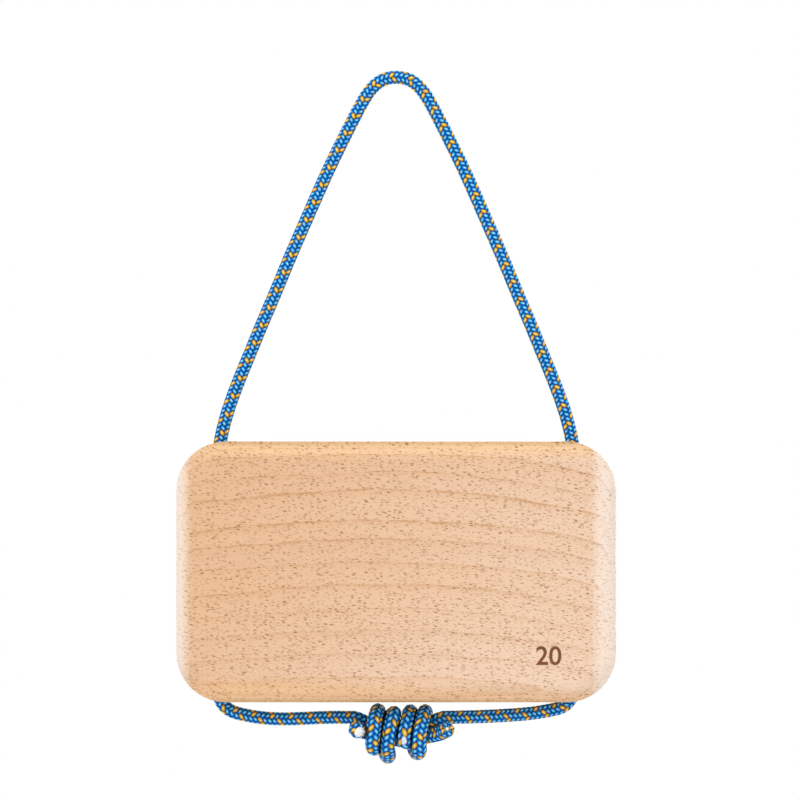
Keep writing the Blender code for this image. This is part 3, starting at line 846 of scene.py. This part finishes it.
def beech_material():
    """Pale beech with dark ray flecks and fine ring lines, solid through the block, in mm."""
    nodes = Nodes("beech")
    place = nodes.vector("MULTIPLY", nodes.place(), (1000.0, 1000.0, 1000.0))
    x, y, z = nodes.parts(place)
    # Depth towards the middle of the tree
    inwards = nodes.math("MULTIPLY_ADD", z, 0.25, y)
    late, line, ring_tint = growth_rings(nodes, place, inwards)
    fleck = ray_flecks(nodes, place, inwards)
    # Fine fibres along the grain
    fibre = nodes.stretched_noise(place, (0.35, 4.0, 4.0), 4.0, 0.65)
    # Paler towards the lower right, in soft patches
    patches = nodes.math("SUBTRACT", nodes.stretched_noise(place, (0.010, 0.03, 0.05)), 0.5)
    paler = nodes.math("MULTIPLY_ADD", patches, 90.0, nodes.math("MULTIPLY_ADD", z, -0.9, x))
    colour = nodes.mix(nodes.between(paler, 60.0, 290.0), (0.725, 0.445, 0.262),
                       (0.84, 0.62, 0.47))
    colour = nodes.tint(colour, ring_tint, 0.25, (0.78, 0.49, 0.27))
    # Painted light and shade on the rounds: yellower at the top, more orange towards the bottom
    colour = nodes.tint(colour, nodes.between(z, -150.0, -144.5), 0.75, (0.84, 0.545, 0.285))
    low = nodes.math("MULTIPLY_ADD", x, 0.03, z)
    colour = nodes.tint(colour, nodes.between(low, -236.0, -241.0), 0.6, (0.82, 0.49, 0.25))
    colour = nodes.tint(colour, nodes.between(low, -239.5, -242.0), 0.4, (0.98, 0.61, 0.33))
    # Painted shade browns the front's upper and lower edges
    edge = nodes.math("MAXIMUM", nodes.between(z, -144.4, -142.6), nodes.between(z, -243.2, -244.4))
    edge = nodes.math("MULTIPLY", edge, nodes.between(y, -11.5, -13.5))
    colour = nodes.tint(colour, edge, 0.5, (0.60, 0.34, 0.13))
    colour = nodes.tint(colour, late, 0.20, (0.62, 0.33, 0.15))
    colour = nodes.tint(colour, line, 0.65, (0.52, 0.25, 0.09))
    colour = nodes.tint(colour, nodes.between(fibre, 0.35, 0.75), 0.28, (0.58, 0.33, 0.17))
    # The ends are cut across the grain, with ring lines and fewer flecks there; painted light makes
    # them and the side rounds pale, the left more than the right
    right_end = nodes.math("MULTIPLY", nodes.between(x, 76.2, 81.5), 0.72)
    end_grain_and_light = nodes.math("MAXIMUM", nodes.between(x, -80.1, -86.5), right_end)
    colour = nodes.tint(colour, end_grain_and_light, 0.65, (0.94, 0.865, 0.795))
    colour = nodes.tint(colour, line, nodes.math("MULTIPLY", end_grain_and_light, 0.35), (0.50, 0.30, 0.17))
    fleck = nodes.math("MULTIPLY", fleck, nodes.math("MULTIPLY_ADD", end_grain_and_light, -0.6, 1.0))
    colour = nodes.tint(colour, fleck, 0.85, (0.28, 0.10, 0.008))
    height = nodes.math("MULTIPLY_ADD", fleck, -0.6, nodes.math("MULTIPLY", fibre, 0.5))
    bump = nodes.bump(height, 0.25, 0.0002)
    return nodes.finish(Base_Color=colour, Normal=bump, Roughness=0.5, Specular_IOR_Level=0.35)


def burnt_material():
    """Wood browned by a hot marking tool."""
    nodes = Nodes("burnt_mark")
    grain = nodes.stretched_noise(nodes.place(), (500.0, 2500.0, 2500.0), 3.0)
    colour = nodes.mix(grain, (0.10, 0.032, 0.011), (0.30, 0.115, 0.048))
    return nodes.finish(Base_Color=colour, Roughness=0.8, Specular_IOR_Level=0.2)


def make_loop(sheath):
    """The free loop above the block."""
    route = loop_route()
    line = cut_line(route, HALF_STRETCH, lengths_along(route)[-1] - HALF_STRETCH)
    span = lengths_along(line)[-1]
    facing = by_length([(span * share, turn) for share, turn in LOOP_TURN])
    slip = by_length([(IN_BORE + place, amount) for place, amount in LOOP_SLIP])
    loop, rings = braided_tube("cord_loop_sheath", line, slip, 1, facing, even_girth, sheath)
    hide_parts("cord_loop")
    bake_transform(loop)


def make_bore_stretch(end, sheath):
    """The straight stretch inside one bore."""
    line = np.array([(end.side * CORD_X, 0.0, BLOCK_TOP - IN_BORE),
                     (end.side * CORD_X, 0.0, BLOCK_BOTTOM + IN_BORE)])
    unmoved = by_length([(0.0, 0.0)])
    bore, _ = braided_tube(f"cord_in_bore_{end.name}", line, unmoved, end.side, unmoved,
                           even_girth, sheath)
    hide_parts(f"cord_bore_{end.name}")
    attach(bore, "block")


def make_cord_end(end, own, other, sheath, core):
    """One end of the cord, from its bore through the knot to its cut tail."""
    below = lower_route(end)
    visible = cut_line(below, HALF_STRETCH, lengths_along(below)[-1])
    tied = cut_line(own, 0.0, lengths_along(own)[-1] - TAIL_CUT)
    line = np.concatenate((visible, tied[1:], KNOT_CENTRE + np.array(end.tail)))
    line = smooth_line(even_points(line, RING_STEP))
    slip = by_length([(place, amount) for place, amount, _ in end.marks])
    facing = by_length([(place, turn) for place, _, turn in end.marks])
    girth = end_girth(lengths_along(visible)[-1], lengths_along(line)[-1], end.is_open)
    strand, rings = braided_tube(f"cord_end_{end.name}_sheath", line, slip, end.side, facing,
                                 girth, sheath, room_beside(other, line))
    if end is LEFT_END:
        rub(strand)
    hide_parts(f"cord_lower_{end.name}", f"knot_strand_{end.name}")
    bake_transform(strand)
    core_end = make_core_end(end, rings[-1], rings[-1] - rings[-4], core)


def make_cords():
    """The loop, the stretches in the bores and the two ends with their knot."""
    sheath = sheath_material()
    core = core_material()
    make_loop(sheath)
    left, right = knot_routes()
    for end, own, other in ((LEFT_END, left, right), (RIGHT_END, right, left)):
        make_bore_stretch(end, sheath)
        make_cord_end(end, own, other, sheath, core)


def rub(strand):
    """Mark a small place where the sheath is rubbed down to white fluff."""
    places = np.empty(len(strand.data.vertices) * 3, dtype=np.float32)
    strand.data.vertices.foreach_get("co", places)
    away = places.reshape(-1, 3) - RUB_PLACE
    worn = np.clip(1 - np.hypot(away[:, 0] / RUB_WIDE, away[:, 2] / RUB_TALL), 0.0, 1.0)
    worn[away[:, 1] > 0.0] = 0.0
    keep_on_points(strand.data, "worn", worn)


def make_core_end(end, tip, outwards, material):
    """The cut core: a white dome with soft fibres that stand a little out of it."""
    radius = end.core.radius
    height = end.core.height
    outwards = outwards / np.linalg.norm(outwards)
    side = np.cross(outwards, (0.0, 0.0, 1.0))
    side /= np.linalg.norm(side)
    up = np.cross(outwards, side)
    chance = np.random.default_rng(FIBRE_SEED)
    builder = bmesh.new()
    bmesh.ops.create_uvsphere(builder, u_segments=32, v_segments=16, radius=1.0)
    for vertex in builder.verts:
        across, along, over = vertex.co
        vertex.co = tip + across * radius * side + along * radius * up + over * height * outwards
    for _ in range(end.core.fibres):
        angle = chance.uniform(0.0, 2 * math.pi)
        share = math.sqrt(chance.uniform(0.0, 0.95))
        spread = math.cos(angle) * side + math.sin(angle) * up
        root = tip + share * radius * spread + height * math.sqrt(1 - share ** 2) * outwards
        way = outwards + 0.6 * share * spread
        way = way + side * chance.normal(0.0, 0.3) + up * chance.normal(0.0, 0.3)
        length = height * chance.uniform(0.3, 0.7)
        bent = way + side * chance.normal(0.0, 0.3) + up * chance.normal(0.0, 0.3)
        middle = root + way * length * 0.6
        add_fibre(builder, (root - way * length * 0.3, middle, middle + bent * length * 0.4))
    mesh = bpy.data.meshes.new(f"core_fibres_{end.name}")
    builder.to_mesh(mesh)
    builder.free()
    mesh.materials.append(material)
    mesh.shade_smooth()
    thing = put_in_scene(f"core_fibres_{end.name}", mesh)
    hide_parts(f"cord_core_end_{end.name}")
    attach(thing, "knot")
    return thing


def add_fibre(builder, line):
    """One thin fibre with four sides and a pointed end."""
    rings = []
    for i, centre in enumerate(line):
        size = FIBRE_RADIUS * FIBRE_TAPER[i]
        way = Vector(line[min(i + 1, 2)] - line[max(i - 1, 0)]).normalized()
        side = way.orthogonal().normalized()
        up = way.cross(side)
        ring = []
        for turn in range(FIBRE_SIDES):
            angle = 2 * math.pi / FIBRE_SIDES * turn
            place = Vector(centre) + size * (math.cos(angle) * side + math.sin(angle) * up)
            ring.append(builder.verts.new(place))
        rings.append(ring)
    for low, high in zip(rings[:-1], rings[1:]):
        for turn in range(FIBRE_SIDES):
            after = (turn + 1) % FIBRE_SIDES
            builder.faces.new((low[turn], low[after], high[after], high[turn]))
    builder.faces.new(rings[-1])
    builder.faces.new(rings[0][::-1])


def shade_block(block):
    """Shade the block's rounds smoothly, with hard lines only where faces meet steeply."""
    tree = bpy.data.node_groups.new("smooth_rounds", "GeometryNodeTree")
    for way in ("INPUT", "OUTPUT"):
        tree.interface.new_socket("Geometry", in_out=way, socket_type="NodeSocketGeometry")
    start = tree.nodes.new("NodeGroupInput")
    merge = tree.nodes.new("GeometryNodeMergeByDistance")
    merge.inputs["Distance"].default_value = SAME_POINT
    clear = tree.nodes.new("GeometryNodeRemoveAttribute")
    clear.inputs["Name"].default_value = "custom_normal"
    angle = tree.nodes.new("GeometryNodeInputMeshEdgeAngle")
    steep = tree.nodes.new("FunctionNodeCompare")
    steep.operation = "GREATER_THAN"
    steep.inputs["B"].default_value = STEEP_EDGE
    tree.links.new(angle.outputs["Unsigned Angle"], steep.inputs["A"])
    last = start
    for node in (merge, clear):
        tree.links.new(last.outputs[0], node.inputs["Geometry"])
        last = node
    for domain, smooth in (("FACE", True), ("EDGE", True), ("EDGE", False)):
        node = tree.nodes.new("GeometryNodeSetShadeSmooth")
        node.domain = domain
        node.inputs["Shade Smooth"].default_value = smooth
        if not smooth:
            tree.links.new(steep.outputs["Result"], node.inputs["Selection"])
        tree.links.new(last.outputs[0], node.inputs["Geometry"])
        last = node
    end = tree.nodes.new("NodeGroupOutput")
    tree.links.new(last.outputs[0], end.inputs[0])
    block.modifiers.new("smooth_rounds", "NODES").node_group = tree
    weighted = block.modifiers.new("even_normals", "WEIGHTED_NORMAL")
    weighted.keep_sharp = True


def finish_block():
    """The block's wood and its smooth rounds."""
    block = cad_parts["block_body"]
    block.data.materials.clear()
    block.data.materials.append(beech_material())
    shade_block(block)


def make_number():
    """A plain number burnt into the front face."""
    curve = bpy.data.curves.new("number", "FONT")
    curve.body = NUMBER
    curve.size = DIGIT_HEIGHT * FONT_PER_HEIGHT
    curve.extrude = NUMBER_RAISE
    curve.offset = STROKE_GROWTH
    holder = put_in_scene("number_curve", curve)
    bpy.context.view_layer.update()
    graph = bpy.context.evaluated_depsgraph_get()
    mesh = bpy.data.meshes.new_from_object(holder.evaluated_get(graph))
    bpy.data.objects.remove(holder)
    mesh.materials.clear()
    mesh.materials.append(burnt_material())
    thing = put_in_scene("burnt_number", mesh)
    thing.rotation_euler = (math.radians(90), 0.0, 0.0)
    thing.location = (NUMBER_X, FRONT_Y - NUMBER_STAND_OFF, NUMBER_Z)
    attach(thing, "block")


def make_camera():
    """A long lens straight in front, level with the middle of the picture."""
    camera = bpy.data.cameras.new("camera")
    camera.lens = LENS
    camera.sensor_width = SENSOR
    camera.clip_end = 50.0
    thing = put_in_scene("camera", camera)
    thing.location = (PICTURE_X, -PICTURE_WIDTH * LENS / SENSOR, PICTURE_Z)
    thing.rotation_euler = (math.radians(90), 0.0, 0.0)
    bpy.context.scene.camera = thing


def make_lamps():
    """Soft square lamps that face the block."""
    for name, place, power in LAMPS:
        lamp = bpy.data.lights.new(name, "AREA")
        lamp.shape = "SQUARE"
        lamp.size = LAMP_SIZE
        lamp.energy = power
        thing = put_in_scene(name, lamp)
        thing.location = place
        way = Vector(LAMP_AIM) - Vector(place)
        thing.rotation_euler = way.to_track_quat("-Z", "Y").to_euler()


def make_world():
    """White behind everything, and an even fill of light."""
    world = bpy.data.worlds.new("studio")
    bpy.context.scene.world = world
    world.use_nodes = True
    tree = world.node_tree
    tree.nodes.clear()
    output = tree.nodes.new("ShaderNodeOutputWorld")
    mixer = tree.nodes.new("ShaderNodeMixShader")
    rays = tree.nodes.new("ShaderNodeLightPath")
    fill = tree.nodes.new("ShaderNodeBackground")
    white = tree.nodes.new("ShaderNodeBackground")
    for background in (fill, white):
        background.inputs["Color"].default_value = (1.0, 1.0, 1.0, 1.0)
    fill.inputs["Strength"].default_value = FILL
    shown = rays.outputs["Is Camera Ray"]
    for ray in ("Is Glossy Ray", "Is Transmission Ray"):
        either = tree.nodes.new("ShaderNodeMath")
        either.operation = "MAXIMUM"
        tree.links.new(shown, either.inputs[0])
        tree.links.new(rays.outputs[ray], either.inputs[1])
        shown = either.outputs[0]
    tree.links.new(shown, mixer.inputs[0])
    tree.links.new(fill.outputs[0], mixer.inputs[1])
    tree.links.new(white.outputs[0], mixer.inputs[2])
    tree.links.new(mixer.outputs[0], output.inputs["Surface"])


def floor_material():
    """A pale floor that fades into the white round its rim."""
    nodes = Nodes("floor")
    centre = nodes.add("ShaderNodeVectorMath", {0: nodes.place()}, operation="LENGTH")
    faded = nodes.between(centre.outputs["Value"], FADE_START, FADE_END)
    clear = nodes.add("ShaderNodeBsdfTransparent")
    nodes.finish(Base_Color=(0.9, 0.9, 0.9), Roughness=0.9)
    mixer = nodes.add("ShaderNodeMixShader", {0: faded})
    nodes.tree.links.new(nodes.shader.outputs[0], mixer.inputs[1])
    nodes.tree.links.new(clear.outputs[0], mixer.inputs[2])
    nodes.tree.links.new(mixer.outputs[0], nodes.tree.nodes["Material Output"].inputs["Surface"])
    return nodes.material


def make_floor():
    """A round floor below the object."""
    builder = bmesh.new()
    bmesh.ops.create_circle(builder, cap_ends=True, radius=FLOOR_RADIUS, segments=96)
    mesh = bpy.data.meshes.new("floor")
    builder.to_mesh(mesh)
    builder.free()
    mesh.materials.append(floor_material())
    floor = put_in_scene("floor", mesh)
    floor.location = (0.0, 0.0, FLOOR_Z)


def main():
    """Make the whole scene."""
    bpy.context.scene.view_settings.view_transform = "Standard"
    make_camera()
    make_cords()
    finish_block()
    make_number()
    make_world()
    make_lamps()
    make_floor()


main()
